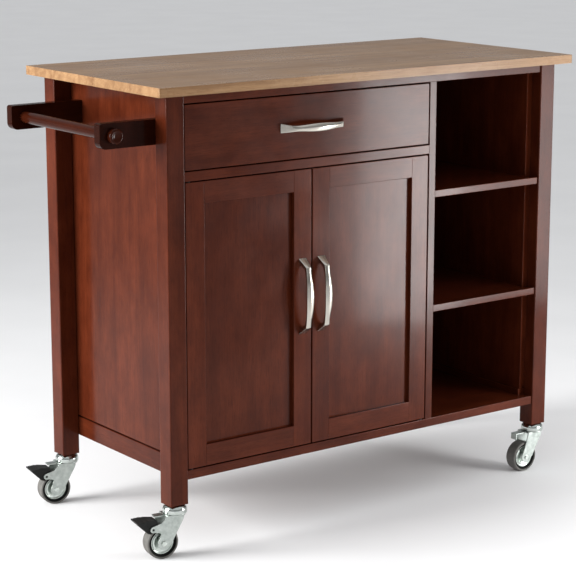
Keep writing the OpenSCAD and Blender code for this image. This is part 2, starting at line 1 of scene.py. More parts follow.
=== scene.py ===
"""A rolling kitchen island: stained wood cabinet, light hardwood worktop, bow pulls, swivel casters.

Everything is in metres, in the CAD model's frame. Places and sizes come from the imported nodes
and joints. The wooden boards are the CAD solids with eased edges; the pulls, the wheels, the
caster caps and the towel rod are built here and stand for their CAD solids.
"""
import json
import math

import bmesh
import bpy
from mathutils import Matrix, Vector

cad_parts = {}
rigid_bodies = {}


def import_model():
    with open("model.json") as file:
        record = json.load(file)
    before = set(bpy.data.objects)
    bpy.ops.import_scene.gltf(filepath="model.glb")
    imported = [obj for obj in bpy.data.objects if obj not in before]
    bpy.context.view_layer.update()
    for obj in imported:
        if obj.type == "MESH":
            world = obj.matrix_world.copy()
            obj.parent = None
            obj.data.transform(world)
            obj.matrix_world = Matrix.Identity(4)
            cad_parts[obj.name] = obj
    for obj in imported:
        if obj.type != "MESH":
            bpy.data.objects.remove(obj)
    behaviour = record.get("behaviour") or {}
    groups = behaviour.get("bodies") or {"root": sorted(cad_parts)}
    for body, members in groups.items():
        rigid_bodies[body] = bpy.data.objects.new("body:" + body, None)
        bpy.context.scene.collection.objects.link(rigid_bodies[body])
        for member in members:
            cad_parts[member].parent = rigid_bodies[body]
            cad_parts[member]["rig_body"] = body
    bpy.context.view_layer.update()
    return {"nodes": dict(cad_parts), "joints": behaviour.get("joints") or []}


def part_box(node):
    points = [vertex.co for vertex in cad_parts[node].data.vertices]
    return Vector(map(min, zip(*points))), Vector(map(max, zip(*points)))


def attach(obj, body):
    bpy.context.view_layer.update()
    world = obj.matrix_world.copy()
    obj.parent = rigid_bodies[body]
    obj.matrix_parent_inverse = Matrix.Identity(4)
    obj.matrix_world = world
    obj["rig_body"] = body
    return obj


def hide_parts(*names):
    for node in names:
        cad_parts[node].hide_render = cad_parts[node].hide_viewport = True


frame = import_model()
NODES = frame["nodes"]
JOINTS = {joint["name"]: joint for joint in frame["joints"]}
MM = 0.001

# ---------------------------------------------------------------- camera

CAMERA_PLACE = Vector((-2.3116, -3.1262, 1.2811))
CAMERA_YAW = math.radians(36.446)      # from +Y towards +X
CAMERA_PITCH = math.radians(12.46)     # below the horizon
CAMERA_LENS = 123.0


def make_camera():
    data = bpy.data.cameras.new("camera")
    data.lens = CAMERA_LENS
    data.sensor_width = 36.0
    camera = bpy.data.objects.new("camera", data)
    camera.location = CAMERA_PLACE
    camera.rotation_euler = (math.pi / 2 - CAMERA_PITCH, 0, -CAMERA_YAW)
    bpy.context.scene.collection.objects.link(camera)
    bpy.context.scene.camera = camera


# ---------------------------------------------------------------- shader helpers


class Shader:
    """A material's node tree with short calls for adding and joining nodes."""

    def __init__(self, name):
        self.material = bpy.data.materials.new(name)
        self.material.use_nodes = True
        self.tree = self.material.node_tree
        self.tree.nodes.clear()
        self.output = self.add("ShaderNodeOutputMaterial")
        self.surface = self.add("ShaderNodeBsdfPrincipled")
        self.join(self.surface, "BSDF", self.output, "Surface")

    def add(self, kind, **settings):
        node = self.tree.nodes.new(kind)
        for key, value in settings.items():
            setattr(node, key, value)
        return node

    def join(self, source, out, target, into):
        self.tree.links.new(source.outputs[out], target.inputs[into])

    def fix(self, **values):
        """Sets values on the shader's own sockets: specular_level becomes Specular IOR Level."""
        names = {
            "metallic": "Metallic", "specular": "Specular IOR Level", "roughness": "Roughness",
            "coat": "Coat Weight", "coat_roughness": "Coat Roughness",
        }
        for key, value in values.items():
            self.surface.inputs[names[key]].default_value = value

    def place(self, scale, offset=(0, 0, 0)):
        """Object coordinates, scaled and shifted."""
        coords = self.add("ShaderNodeTexCoord")
        mapping = self.add("ShaderNodeMapping")
        mapping.inputs["Scale"].default_value = scale
        mapping.inputs["Location"].default_value = offset
        self.join(coords, "Object", mapping, "Vector")
        return mapping

    def noise(self, where, scale, detail=3.0, rough=0.55, warp=0.0):
        node = self.add("ShaderNodeTexNoise")
        node.inputs["Scale"].default_value = scale
        node.inputs["Detail"].default_value = detail
        node.inputs["Roughness"].default_value = rough
        node.inputs["Distortion"].default_value = warp
        self.join(where, "Vector", node, "Vector")
        return node

    def ramp(self, source, out, stops):
        node = self.add("ShaderNodeValToRGB")
        ramp = node.color_ramp
        while len(ramp.elements) < len(stops):
            ramp.elements.new(0.5)
        for element, (place, colour) in zip(ramp.elements, stops):
            element.position = place
            element.color = (*colour, 1)
        self.join(source, out, node, "Fac")
        return node

    def blend(self, first, second, factor, kind="MIX"):
        """A colour mix of two nodes' colours. factor is a number or a (node, output) pair."""
        node = self.add("ShaderNodeMix", data_type="RGBA", blend_type=kind)
        if isinstance(factor, (int, float)):
            node.inputs[0].default_value = factor
        else:
            self.tree.links.new(factor[0].outputs[factor[1]], node.inputs[0])
        self.tree.links.new(first.outputs[2 if first.type == "MIX" else 0], node.inputs[6])
        self.tree.links.new(second.outputs[2 if second.type == "MIX" else 0], node.inputs[7])
        return node

    def spread(self, source, out, low, high, from_low=0.3, from_high=0.7):
        """Maps a noise value to the range low..high."""
        node = self.add("ShaderNodeMapRange")
        ends = {"From Min": from_low, "From Max": from_high, "To Min": low, "To Max": high}
        for key, value in ends.items():
            node.inputs[key].default_value = value
        self.join(source, out, node, "Value")
        return node

    def colour(self, node):
        self.tree.links.new(node.outputs[2 if node.type == "MIX" else 0], self.surface.inputs["Base Color"])

    def roughness(self, node):
        self.join(node, 0, self.surface, "Roughness")

    def bump(self, source, out, strength, depth, under=None):
        node = self.add("ShaderNodeBump")
        node.inputs["Strength"].default_value = strength
        node.inputs["Distance"].default_value = depth
        self.join(source, out, node, "Height")
        if under is not None:
            self.join(under, "Normal", node, "Normal")
        self.join(node, "Normal", self.surface, "Normal")
        return node


def along(axis, lengthwise, across):
    """A mapping scale that stretches a texture along one axis."""
    return tuple(lengthwise if name == axis else across for name in "xyz")


# ---------------------------------------------------------------- materials


def stained_wood(name, axis, seed, tone=1.0, gloss=1.0, rough=0.15):
    """Reddish brown stained hardwood under a semi-gloss lacquer, its grain along one axis."""
    s = Shader(name)
    shift = (seed * 1.37, seed * 2.11, seed * 0.73)
    figure = s.noise(s.place(along(axis, 2.2, 22), shift), 1.0, 4.0, 0.6, 0.8)
    streaks = s.noise(s.place(along(axis, 11, 330), shift), 1.0, 3.0, 0.6)
    pores = s.noise(s.place(along(axis, 60, 1500), shift), 1.0, 2.0, 0.5)
    mottle = s.noise(s.place(along(axis, 14, 24), shift), 1.0, 4.0, 0.6)
    body = s.ramp(figure, "Fac", [
        (0.30, [c * tone for c in (0.056, 0.0104, 0.0038)]),
        (0.52, [c * tone for c in (0.072, 0.0140, 0.0052)]),
        (0.72, [c * tone for c in (0.090, 0.0184, 0.0070)]),
    ])
    grain = s.ramp(streaks, "Fac", [(0.32, (0.86, 0.83, 0.82)), (0.60, (1.0, 1.0, 1.0))])
    dark_pores = s.ramp(pores, "Fac", [(0.32, (0.45, 0.40, 0.38)), (0.43, (1.0, 1.0, 1.0))])
    cloud = s.ramp(mottle, "Fac", [(0.34, (0.76, 0.71, 0.69)), (0.66, (1.15, 1.15, 1.13))])
    colour = s.blend(body, grain, 0.85, "MULTIPLY")
    colour = s.blend(colour, dark_pores, 0.6, "MULTIPLY")
    colour = s.blend(colour, cloud, 0.9, "MULTIPLY")
    s.colour(colour)
    handled = s.noise(s.place((8, 8, 8), shift), 1.0, 5.0, 0.6)
    s.roughness(s.spread(handled, "Fac", rough, rough + 0.09))
    s.fix(specular=0.10 * gloss, coat=0.05 * gloss, coat_roughness=0.08)
    fine = s.bump(pores, "Fac", 0.10, 0.15 * MM)
    s.bump(streaks, "Fac", 0.05, 0.25 * MM, fine)
    return s.material


def worktop_wood(name, tone=1.0):
    """Light hardwood in narrow staves under a satin lacquer, the grain along X."""
    s = Shader(name)
    staves = s.noise(s.place((0.9, 17, 0.5)), 1.0, 0.0, 0.0)
    figure = s.noise(s.place((2.2, 60, 60)), 1.0, 4.0, 0.6, 0.6)
    fibres = s.noise(s.place((16, 620, 620)), 1.0, 3.0, 0.6)
    pores = s.noise(s.place((70, 1700, 1700)), 1.0, 2.0, 0.5)
    body = s.ramp(figure, "Fac", [
        (0.28, [c * tone for c in (0.232, 0.122, 0.056)]),
        (0.50, [c * tone for c in (0.318, 0.182, 0.088)]),
        (0.74, [c * tone for c in (0.405, 0.246, 0.124)]),
    ])
    stave = s.ramp(staves, "Fac", [(0.35, (0.88, 0.85, 0.82)), (0.65, (1.05, 1.04, 1.02))])
    fibre = s.ramp(fibres, "Fac", [(0.30, (0.70, 0.65, 0.60)), (0.60, (1.0, 1.0, 1.0))])
    pore = s.ramp(pores, "Fac", [(0.30, (0.58, 0.50, 0.44)), (0.42, (1.0, 1.0, 1.0))])
    colour = s.blend(body, stave, 1.0, "MULTIPLY")
    colour = s.blend(colour, fibre, 0.75, "MULTIPLY")
    colour = s.blend(colour, pore, 0.6, "MULTIPLY")
    s.colour(colour)
    worn = s.noise(s.place((6, 6, 6)), 1.0, 5.0, 0.65)
    s.roughness(s.spread(worn, "Fac", 0.22, 0.36))
    s.fix(specular=0.18, coat=0.06, coat_roughness=0.2)
    fine = s.bump(pores, "Fac", 0.12, 0.12 * MM)
    s.bump(fibres, "Fac", 0.06, 0.2 * MM, fine)
    return s.material


def bare_wood(name, axis):
    """Unstained light wood, as inside a drawer."""
    s = Shader(name)
    figure = s.noise(s.place(along(axis, 2.5, 50)), 1.0, 4.0, 0.6, 0.4)
    pores = s.noise(s.place(along(axis, 50, 1200)), 1.0, 2.0, 0.5)
    body = s.ramp(figure, "Fac", [(0.3, (0.42, 0.27, 0.14)), (0.7, (0.60, 0.43, 0.25))])
    pore = s.ramp(pores, "Fac", [(0.3, (0.72, 0.64, 0.56)), (0.45, (1.0, 1.0, 1.0))])
    s.colour(s.blend(body, pore, 0.6, "MULTIPLY"))
    s.roughness(s.spread(figure, "Fac", 0.52, 0.66))
    s.bump(pores, "Fac", 0.15, 0.15 * MM)
    return s.material


def satin_nickel():
    """Brushed nickel plate with faint marks from handling."""
    s = Shader("satin_nickel")
    brush = s.noise(s.place((900, 900, 900)), 1.0, 2.0, 0.5)
    marks = s.noise(s.place((60, 60, 60)), 1.0, 4.0, 0.6)
    s.colour(s.ramp(marks, "Fac", [(0.3, (0.53, 0.495, 0.435)), (0.7, (0.60, 0.565, 0.505))]))
    s.roughness(s.spread(marks, "Fac", 0.17, 0.21))
    s.fix(metallic=1.0)
    s.bump(brush, "Fac", 0.02, 0.01 * MM)
    return s.material


def zinc_plate(name, low, high, smooth, rough):
    """Zinc plated steel, faintly clouded."""
    s = Shader(name)
    cloud = s.noise(s.place((110, 110, 110)), 1.0, 4.0, 0.6)
    grit = s.noise(s.place((1400, 1400, 1400)), 1.0, 2.0, 0.5)
    s.colour(s.ramp(cloud, "Fac", [(0.32, low), (0.68, high)]))
    s.roughness(s.spread(cloud, "Fac", smooth, rough))
    s.fix(metallic=1.0)
    s.bump(grit, "Fac", 0.05, 0.05 * MM)
    return s.material


def rubber(name, dark, light, specular=0.5):
    """Moulded rubber with dust in its pores."""
    s = Shader(name)
    dust = s.noise(s.place((90, 90, 90)), 1.0, 5.0, 0.65)
    grain = s.noise(s.place((1100, 1100, 1100)), 1.0, 2.0, 0.5)
    s.colour(s.ramp(dust, "Fac", [(0.35, dark), (0.70, light)]))
    s.roughness(s.spread(dust, "Fac", 0.55, 0.78))
    s.fix(specular=specular)
    s.bump(grain, "Fac", 0.2, 0.08 * MM)
    return s.material


def black_plastic():
    """Moulded black plastic with a fine spark texture."""
    s = Shader("black_plastic")
    wear = s.noise(s.place((120, 120, 120)), 1.0, 4.0, 0.6)
    spark = s.noise(s.place((1600, 1600, 1600)), 1.0, 2.0, 0.5)
    s.colour(s.ramp(wear, "Fac", [(0.35, (0.006, 0.006, 0.006)), (0.75, (0.018, 0.018, 0.017))]))
    s.roughness(s.spread(wear, "Fac", 0.42, 0.60))
    s.fix(specular=0.2)
    s.bump(spark, "Fac", 0.2, 0.08 * MM)
    return s.material


NICKEL = satin_nickel()
ZINC = zinc_plate("zinc_steel", (0.36, 0.40, 0.375), (0.54, 0.58, 0.55), 0.30, 0.44)
CAP_ZINC = zinc_plate("polished_zinc", (0.44, 0.48, 0.455), (0.60, 0.64, 0.61), 0.09, 0.17)
DISC_ZINC = zinc_plate("wheel_disc_zinc", (0.52, 0.57, 0.53), (0.74, 0.79, 0.75), 0.26, 0.38)
DARK_STEEL = zinc_plate("dark_steel", (0.020, 0.018, 0.017), (0.045, 0.042, 0.040), 0.42, 0.60)
TREAD = rubber("grey_tread", (0.080, 0.077, 0.070), (0.145, 0.138, 0.126))
SIDE_RUBBER = rubber("dark_side_rubber", (0.003, 0.003, 0.003), (0.008, 0.008, 0.007), 0.08)
PLASTIC = black_plastic()

# Which way the grain runs in each stained board
GRAIN = {
    "z": [
        "leg_front_left", "leg_front_right", "leg_back_left", "leg_back_right",
        "side_panel_left", "side_panel_right", "divider", "back_panel",
        "door_left_stiles", "door_left_panel", "door_right_stiles", "door_right_panel",
    ],
    "x": [
        "front_apron", "back_top_rail", "mid_rail", "bottom_board", "upper_open_shelf",
        "lower_open_shelf", "cabinet_shelf", "towel_arm_front", "towel_arm_back",
        "drawer_front", "door_left_rails", "door_right_rails",
    ],
    "y": ["low_rails"],
}
# Boards with crisp edges that don't catch the light
CRISP = ["side_panel_left", "side_panel_right", "back_panel"]
# Boards whose ends butt against others, so only their long edges are eased
BUTTED = [
    "front_apron", "back_top_rail", "mid_rail", "bottom_board", "upper_open_shelf",
    "lower_open_shelf", "door_left_rails", "door_right_rails", "divider",
]
SEEDS = 3
# The towel arms are darker and less glossy than the other boards: in part their own tone, in part painted
# shade from the worktop's overhang above them.
ARM_TONE_AND_SHADE = 0.3
ARM_GLOSS = 0.5
EDGE_WEAR_AND_HIGHLIGHT_TONE = 1.4            # lighter edges: in part a rubbed finish, in part a painted highlight
EDGE_GLOSS = 2.5
BOARD_EASE = 1.0 * MM
CRISP_EASE = 0.4 * MM
LEG_EASE = 3.0 * MM
FITTINGS = ["shelf_pins", "cabinet_runners", "drawer_runners", "frame_screws",
            "door_left_strike", "door_right_strike"]
CORNERS = ["fl", "fr", "bl", "br"]

# ---------------------------------------------------------------- boards

SHARP = math.radians(40)
SHORTEST_EASED = 7 * MM


def board(node, material, edge_material, ease, run=None, segments=3, clamp=True, side=None):
    """The board of a CAD node with its outer edges eased: the long ones only where run is its axis.

    Small holes keep their sharp rims. The eased edges have a material of their own, a little
    lighter, in part as where a finish is rubbed thin and in part a painted highlight along the edge.
    side is a material for the faces to front and back; on the worktop it is a lighter copy, painted
    light that makes those faces brighter than the top.
    """
    source = NODES[node]
    mesh = bmesh.new()
    mesh.from_mesh(source.data)
    bmesh.ops.remove_doubles(mesh, verts=mesh.verts, dist=0.004 * MM)
    bmesh.ops.dissolve_limit(
        mesh, angle_limit=math.radians(0.4), verts=mesh.verts, edges=mesh.edges, delimit=set()
    )
    eased = []
    for edge in mesh.edges:
        if not edge.is_manifold or edge.calc_face_angle(0) < SHARP:
            continue
        edge.smooth = False
        line = edge.verts[1].co - edge.verts[0].co
        straight = run is None or abs(line["xyz".index(run)]) > 0.99 * line.length
        if edge.is_convex and line.length > SHORTEST_EASED and straight:
            eased.append(edge)
    for edge in eased:
        edge.smooth = True
    # The bevel faces take the lighter edge material: in part rubbed finish, in part painted highlight.
    bmesh.ops.bevel(
        mesh, geom=eased, offset=ease, offset_type="OFFSET", segments=segments, profile=0.5,
        affect="EDGES", clamp_overlap=clamp, material=1,
    )
    for face in mesh.faces:
        face.smooth = True
        # On the worktop the front and back faces take a lighter copy of its wood: painted light.
        if side is not None and abs(face.normal.y) > 0.99:
            face.material_index = 2
    data = bpy.data.meshes.new(node + "_board")
    mesh.to_mesh(data)
    mesh.free()
    data.materials.clear()
    data.materials.append(material)
    data.materials.append(edge_material)
    if side is not None:
        data.materials.append(side)
    piece = bpy.data.objects.new(node + "_board", data)
    bpy.context.scene.collection.objects.link(piece)
    flat = piece.modifiers.new("flat faces", "WEIGHTED_NORMAL")
    flat.keep_sharp = True
    flat.weight = 100
    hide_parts(node)
    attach(piece, source["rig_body"])


def stained_pair(shades, axis, number, dark):
    """A stained wood and its lighter edge, in part rubbed finish and in part painted highlight, made once
    for each grain direction and seed.
    """
    key = (axis, number % SEEDS, dark)
    if key not in shades:
        label = "%s_%d%s" % (axis, key[1], "_dark" if dark else "")
        # the towel arms' wood is darkened, in part as painted shade
        tone = (ARM_TONE_AND_SHADE if dark else 1.0) * (0.96 + 0.05 * key[1])
        seed = 1 + key[1] * 3
        gloss = ARM_GLOSS if dark else 1.0
        shades[key] = (
            stained_wood("stained_" + label, axis, seed, tone, gloss),
            stained_wood("stained_edge_" + label, axis, seed, tone * EDGE_WEAR_AND_HIGHLIGHT_TONE, gloss * EDGE_GLOSS),
        )
    return shades[key]


def boards():
    shades = {}
    for axis, names in GRAIN.items():
        for number, node in enumerate(names):
            plain, edge = stained_pair(shades, axis, number, node.startswith("towel"))
            run = axis if node in BUTTED else None
            if node in CRISP:
                board(node, plain, plain, CRISP_EASE, run, 2)
            elif node.startswith("leg"):
                board(node, plain, edge, LEG_EASE, run, 6, False)
            else:
                board(node, plain, edge, BOARD_EASE, run)
    # The worktop's eased edges are a lighter copy of its wood, in part rubbed finish and in part painted
    # highlight; its front and back faces are a lighter copy still, painted light that makes them brighter
    # than the top.
    board("worktop", worktop_wood("worktop_wood"), worktop_wood("worktop_edge", 1.4),
          1.6 * MM, None, 4, True, worktop_wood("worktop_side_painted_lighter", 1.6))
    side_wood = bare_wood("drawer_wood_y", "y")
    cross_wood = bare_wood("drawer_wood_x", "x")
    board("drawer_sides", side_wood, side_wood, 0.8 * MM, "y")
    board("drawer_back", cross_wood, cross_wood, 0.8 * MM, "x")
    board("drawer_bottom", cross_wood, cross_wood, 0.3 * MM)


# ---------------------------------------------------------------- CAD nodes that stay


def dress(node, material, ease, segments=2):
    """Gives a CAD node its material and eases its edges with modifiers."""
    thing = NODES[node]
    for slot in thing.material_slots:
        slot.material = material
    weld = thing.modifiers.new("weld", "WELD")
    weld.merge_threshold = 0.005 * MM
    whole = thing.modifiers.new("whole faces", "DECIMATE")
    whole.decimate_type = "DISSOLVE"
    whole.angle_limit = math.radians(0.5)
    bevel = thing.modifiers.new("ease", "BEVEL")
    bevel.width = ease
    bevel.segments = segments
    bevel.limit_method = "ANGLE"
    bevel.angle_limit = SHARP
    bevel.use_clamp_overlap = False
    bevel.harden_normals = True


def dress_fittings():
    for node in FITTINGS:
        dress(node, ZINC, 0.2 * MM, 1)
    dress("door_pivots", DARK_STEEL, 0.2 * MM, 1)
    dress("door_catches", PLASTIC, 0.8 * MM)
    for corner in CORNERS:
        dress("caster_%s_fork" % corner, ZINC, 0.4 * MM)
        dress("caster_%s_axle" % corner, DISC_ZINC, 0.3 * MM)
    for corner in ("fl", "bl"):
        dress("caster_%s_pedal" % corner, PLASTIC, 0.35 * MM)


# ---------------------------------------------------------------- mesh helpers


def new_piece(name, mesh, material, smooth=True):
    """Makes an object from a bmesh and links it to the scene."""
    bmesh.ops.recalc_face_normals(mesh, faces=mesh.faces)
    data = bpy.data.meshes.new(name)
    mesh.to_mesh(data)
    mesh.free()
    for face in data.polygons:
        face.use_smooth = smooth
    data.materials.append(material)
    piece = bpy.data.objects.new(name, data)
    bpy.context.scene.collection.objects.link(piece)
    return piece


def arc(centre, radius, start, end, steps):
    """Points along an arc: centre is (radius from the axis, height), angles are in degrees."""
    angles = [math.radians(start + (end - start) * i / steps) for i in range(steps + 1)]
    return [(centre[0] + radius * math.cos(a), centre[1] + radius * math.sin(a)) for a in angles]


def revolve(mesh, outline, matrix, steps=64):
    """Turns a closed outline of (radius, height) points about Z, then moves it by matrix."""
    rings = []
    for i in range(steps):
        angle = 2 * math.pi * i / steps
        turn = (math.cos(angle), math.sin(angle))
        rings.append([
            mesh.verts.new(matrix @ Vector((r * turn[0], r * turn[1], h))) for r, h in outline
        ])
    count = len(outline)
    for i in range(steps):
        first, second = rings[i], rings[(i + 1) % steps]
        for j in range(count):
            k = (j + 1) % count
            mesh.faces.new((first[j], second[j], second[k], first[k]))


def close_axis(mesh):
    """Merges the points that lie together where an outline touches its axis."""
    bmesh.ops.remove_doubles(mesh, verts=mesh.verts, dist=0.002 * MM)


def axis_matrix(place, direction):
    """A matrix that takes Z to direction and the origin to place."""
    return Matrix.Translation(place) @ Vector(direction).to_track_quat("Z", "Y").to_matrix().to_4x4()


# ---------------------------------------------------------------- pulls

PULL_FOOT = 12 * MM        # length of each foot on the wood
PULL_LEAN = 15 * MM        # how far the outside leans in from foot to shoulder
INNER_LEAN = 9 * MM        # the same of the inside
PULL_RISE = 10 * MM        # rise of the bow from shoulder to middle
PULL_THICK = 7 * MM
PULL_WAIST = 17 * MM       # distance of the narrow waist from each end
WAIST_HALF = 5.6 * MM
BELLY_GROWTH = 2.9 * MM
FOOT_GROWTH = 3.9 * MM
BOW_STEPS = 10

# Half of each section, from the ridge round to the back: depth (0 inside, 1 outside) and place
# across the width. The feet are flat faced, the bow is ridged.
FOOT_SECTION = [(1.00, 0.00), (0.99, 0.50), (0.97, 0.96), (0.55, 1.00), (0.08, 0.97), (0.00, 0.80)]
BOW_SECTION = [(1.00, 0.00), (0.92, 0.44), (0.70, 0.84), (0.40, 1.00), (0.12, 0.92), (0.00, 0.58)]


def pull_section(x, half_length):
    """The section at a distance x from the middle, as a closed ring."""
    ridged_to = 0.75 * (half_length - PULL_WAIST)
    flat = min(1.0, max(0.0, (abs(x) - ridged_to) / (half_length - PULL_FOOT - ridged_to)))
    half = [
        (bow[0] + (foot[0] - bow[0]) * flat, bow[1] + (foot[1] - bow[1]) * flat)
        for foot, bow in zip(FOOT_SECTION, BOW_SECTION)
    ]
    return half + [(depth, -across) for depth, across in reversed(half[1:])]


def pull_half_width(x, half_length):
    waist = half_length - PULL_WAIST
    if abs(x) < waist:
        return WAIST_HALF + BELLY_GROWTH * math.cos(math.pi / 2 * x / waist) ** 1.5
    return WAIST_HALF + FOOT_GROWTH * (abs(x) - waist) / PULL_WAIST


def pull_stations(half_length, height):
    """Pairs of outer and inner points (along, out) from one foot to the other."""
    outer_x = half_length - PULL_LEAN
    inner_x = half_length - PULL_FOOT - INNER_LEAN
    foot, shoulder = [], []
    for share in (0.0, 0.12, 0.4, 0.7, 0.9):
        foot.append((
            (half_length - share * PULL_LEAN, share * (height - PULL_RISE)),
            (half_length - PULL_FOOT - share * INNER_LEAN, share * (height - PULL_RISE - PULL_THICK)),
        ))
    for i in range(BOW_STEPS + 1):
        share = 1 - i / BOW_STEPS
        rise = PULL_RISE * (1 - share * share)
        shoulder.append((
            (outer_x * share, height - PULL_RISE + rise),
            (inner_x * share, height - PULL_RISE - PULL_THICK + rise),
        ))
    half = foot + shoulder
    mirrored = [((-o[0], o[1]), (-i[0], i[1])) for o, i in reversed(half[:-1])]
    return half + mirrored


def pull(name, node, body, lengthwise):
    """A bow pull with flared feet and a ridge, and the screws that hold it from behind."""
    low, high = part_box(node)
    middle = (low + high) / 2
    face_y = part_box("drawer_front")[0].y
    back_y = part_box("drawer_front")[1].y
    axis = 0 if lengthwise == "x" else 2
    half_length = (high[axis] - low[axis]) / 2
    height = face_y - low.y
    run = Vector((1, 0, 0)) if lengthwise == "x" else Vector((0, 0, 1))
    side = Vector((0, 0, 1)) if lengthwise == "x" else Vector((1, 0, 0))
    out = Vector((0, -1, 0))
    start = Vector((middle.x, face_y, middle.z))

    mesh = bmesh.new()
    rings = []
    for outer, inner in pull_stations(half_length, height):
        ring = []
        for depth, across in pull_section(outer[0], half_length):
            x = inner[0] + (outer[0] - inner[0]) * depth
            w = inner[1] + (outer[1] - inner[1]) * depth
            ring.append(mesh.verts.new(
                start + run * x + out * w + side * across * pull_half_width(x, half_length)
            ))
        rings.append(ring)
    count = len(rings[0])
    for first, second in zip(rings, rings[1:]):
        for j in range(count):
            k = (j + 1) % count
            mesh.faces.new((first[j], second[j], second[k], first[k]))
    mesh.faces.new(rings[0])
    mesh.faces.new(list(reversed(rings[-1])))
    mesh.verts.ensure_lookup_table()
    crease = mesh.edges.layers.float.new("crease_edge")
    for first, second in zip(rings, rings[1:]):
        mesh.edges.get((first[0], second[0]))[crease] = 0.75
        for corner in (2, count - 2):
            mesh.edges.get((first[corner], second[corner]))[crease] = 0.5
    bend = 5
    for number, hard in ((0, 1.0), (bend, 0.7), (-1 - bend, 0.7), (-1, 1.0)):
        ring = rings[number]
        for j in range(count):
            mesh.edges.get((ring[j], ring[(j + 1) % count]))[crease] = hard
    piece = new_piece(name, mesh, NICKEL)
    surface = piece.modifiers.new("smooth", "SUBSURF")
    surface.levels = 2
    surface.render_levels = 2
    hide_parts(node)
    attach(piece, body)

    mesh = bmesh.new()
    for sign in (-1, 1):
        place = start + run * sign * (half_length - PULL_FOOT / 2)
        place.y = back_y
        outline = [(0, 0), (4 * MM, 0), (4 * MM, 1.0 * MM)]
        outline += arc((2.4 * MM, 1.0 * MM), 1.5 * MM, 0, 80, 5)
        outline += [(1.3 * MM, 2.45 * MM), (0.9 * MM, 1.5 * MM), (0, 1.3 * MM)]
        revolve(mesh, outline, axis_matrix(place, (0, 1, 0)), 32)
    close_axis(mesh)
    screws = new_piece(name + "_screws", mesh, ZINC)
    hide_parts(node)
    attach(screws, body)


# ---------------------------------------------------------------- wheels


def wheel(corner):
    """A caster's wheel: grey tread, dark side rings and a pressed disc, turned about its axle."""
    joint = JOINTS["wheel_%s_spin" % corner]
    body = "wheel_" + corner
    place = axis_matrix(Vector(joint["pos_m"]), joint["axis"])
    low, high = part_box("caster_%s_tyre" % corner)
    outer = (high.z - low.z) / 2
    half = 13 * MM
    shoulder = 3.5 * MM
    ring_r = outer - 3.2 * MM
    hub_r = 22.5 * MM

    mesh = bmesh.new()
    outline = arc((outer - shoulder, half - shoulder), shoulder, 0, 90, 8)
    outline += [(ring_r - 0.4 * MM, half - 0.2 * MM), (ring_r - 1 * MM, half - 1.2 * MM)]
    outline += [(ring_r - 1 * MM, -half + 1.2 * MM), (ring_r - 0.4 * MM, -half + 0.2 * MM)]
    outline += arc((outer - shoulder, -half + shoulder), shoulder, -90, 0, 8)
    revolve(mesh, outline, place, 96)
    tread = new_piece(body + "_tread", mesh, TREAD)

    mesh = bmesh.new()
    rim = ring_r - 1.1 * MM
    cone = [(rim, 11.0 * MM), (rim - 0.7 * MM, 11.9 * MM), (hub_r + 1.2 * MM, 10.2 * MM), (hub_r, 9.2 * MM)]
    outline = [(r, -h) for r, h in reversed(cone)] + cone + [(hub_r, 8 * MM), (hub_r, -8 * MM)]
    revolve(mesh, outline, place, 96)
    side = new_piece(body + "_side_ring", mesh, SIDE_RUBBER)

    mesh = bmesh.new()
    bore = 3.05 * MM
    face = [
        (bore, 13.6 * MM), (5.6 * MM, 13.6 * MM), (6.4 * MM, 12.8 * MM), (6.8 * MM, 8.6 * MM),
        (8.4 * MM, 7.2 * MM), (13.0 * MM, 6.8 * MM), (15.0 * MM, 7.6 * MM), (17.2 * MM, 7.8 * MM),
        (18.6 * MM, 7.2 * MM), (20.4 * MM, 7.8 * MM), (21.2 * MM, 8.8 * MM), (22.3 * MM, 8.8 * MM),
    ]
    outline = face + [(r, -h) for r, h in reversed(face)]
    revolve(mesh, outline, place, 96)
    disc = new_piece(body + "_disc", mesh, DISC_ZINC)

    for piece, slot in ((tread, "grey_rubber"), (side, "grey_rubber"), (disc, "zinc_steel")):
        round_off(piece)
        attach(piece, body)
    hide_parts("caster_%s_tyre" % corner)
    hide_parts("caster_%s_tyre" % corner)
    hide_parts("caster_%s_hub" % corner)


def round_off(piece, width=0.25 * MM):
    """Small eased edges on a turned piece."""
    bevel = piece.modifiers.new("ease", "BEVEL")
    bevel.width = width
    bevel.segments = 2
    bevel.limit_method = "ANGLE"
    bevel.angle_limit = math.radians(35)
    bevel.harden_normals = True


# ---------------------------------------------------------------- caster caps


def caster_caps():
    """The polished domes under the legs, with the stem's rivet below each fork's plate."""
    low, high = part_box("caster_stems")
    mesh = bmesh.new()
    leg_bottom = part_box("leg_front_left")[0].z
    dome = 23 * MM
    skirt = leg_bottom - 16.4 * MM
    rounding = 9.5 * MM
    rounded_from = leg_bottom - 10.5 * MM
    top = leg_bottom - 0.2 * MM
    stem = 5 * MM
    for corner in CORNERS:
        joint = JOINTS["swivel_%s_turn" % corner]
        place = Matrix.Translation(Vector((joint["pos_m"][0], joint["pos_m"][1], 0)))
        outline = [(0, low.z), (6.6 * MM, low.z), (8 * MM, low.z + 1.2 * MM), (8 * MM, low.z + 3.4 * MM)]
        outline += [(stem, low.z + 3.4 * MM), (stem, skirt), (dome - 0.6 * MM, skirt)]
        outline += [(dome, skirt + 0.6 * MM), (dome, rounded_from)]
        outline += arc((dome - rounding, rounded_from), rounding, 8, 82, 10)
        outline += [(dome - rounding, top), (stem, top)]
        outline += [(stem, high.z), (0, high.z)]
        revolve(mesh, outline, place, 72)
    close_axis(mesh)
    caps = new_piece("caster_caps", mesh, CAP_ZINC)
    round_off(caps, 0.3 * MM)
    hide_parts("caster_stems")
    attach(caps, "cabinet")


# ---------------------------------------------------------------- towel rod


